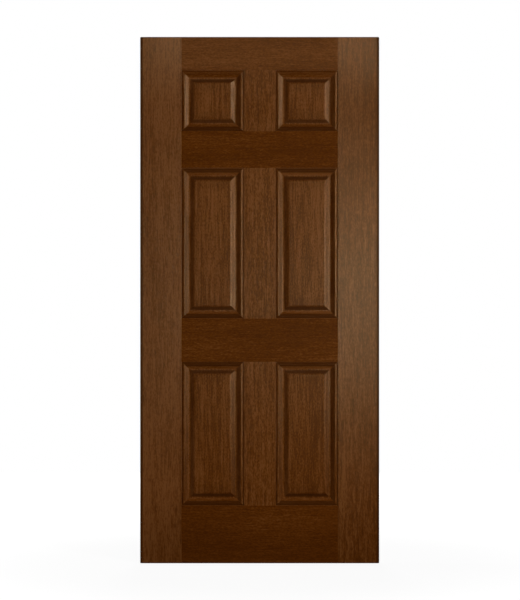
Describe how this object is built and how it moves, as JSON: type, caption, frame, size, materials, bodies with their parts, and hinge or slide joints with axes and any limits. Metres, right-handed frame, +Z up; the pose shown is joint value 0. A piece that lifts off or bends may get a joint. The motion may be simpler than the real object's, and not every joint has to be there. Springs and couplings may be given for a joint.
{
  "type": "panelled front door slab",
  "caption": "Dark stained timber front door slab: grooved stiles, rails and mullions round raised and fielded panels, with mitred mouldings on both faces.",
  "frame": {"origin": "middle of the slab's bottom edge, halfway through its thickness", "axes": "+Z up the slab, +X from the hinge edge to the lock edge, -Y out of the front face"},
  "size_m": [0.914, 0.0446, 2.013],
  "materials": {
    "stile_timber": "dark stain, satin varnish",
    "rail_timber": "dark stain, satin varnish",
    "mullion_timber": "dark stain, satin varnish",
    "panel_timber": "dark stain, satin varnish",
    "moulding_timber": "dark stain, satin varnish",
    "dowel_timber": "bare beech",
    "pin_steel": "bright"
  },
  "bodies": {
    "root": {"back_lower_left_moulding": "moulding_timber", "back_lower_right_moulding": "moulding_timber", "back_middle_left_moulding": "moulding_timber", "back_middle_right_moulding": "moulding_timber", "back_upper_left_moulding": "moulding_timber", "back_upper_right_moulding": "moulding_timber", "bottom_rail": "rail_timber", "frieze_rail": "rail_timber", "front_lower_left_moulding": "moulding_timber", "front_lower_right_moulding": "moulding_timber", "front_middle_left_moulding": "moulding_timber", "front_middle_right_moulding": "moulding_timber", "front_upper_left_moulding": "moulding_timber", "front_upper_right_moulding": "moulding_timber", "left_stile": "stile_timber", "lock_rail": "rail_timber", "lower_left_panel": "panel_timber", "lower_mullion": "mullion_timber", "lower_right_panel": "panel_timber", "middle_left_panel": "panel_timber", "middle_mullion": "mullion_timber", "middle_right_panel": "panel_timber", "moulding_pins": "pin_steel", "mullion_dowels": "dowel_timber", "rail_dowels": "dowel_timber", "right_stile": "stile_timber", "top_rail": "rail_timber", "upper_left_panel": "panel_timber", "upper_mullion": "mullion_timber", "upper_right_panel": "panel_timber"}
  },
  "joints": []
}
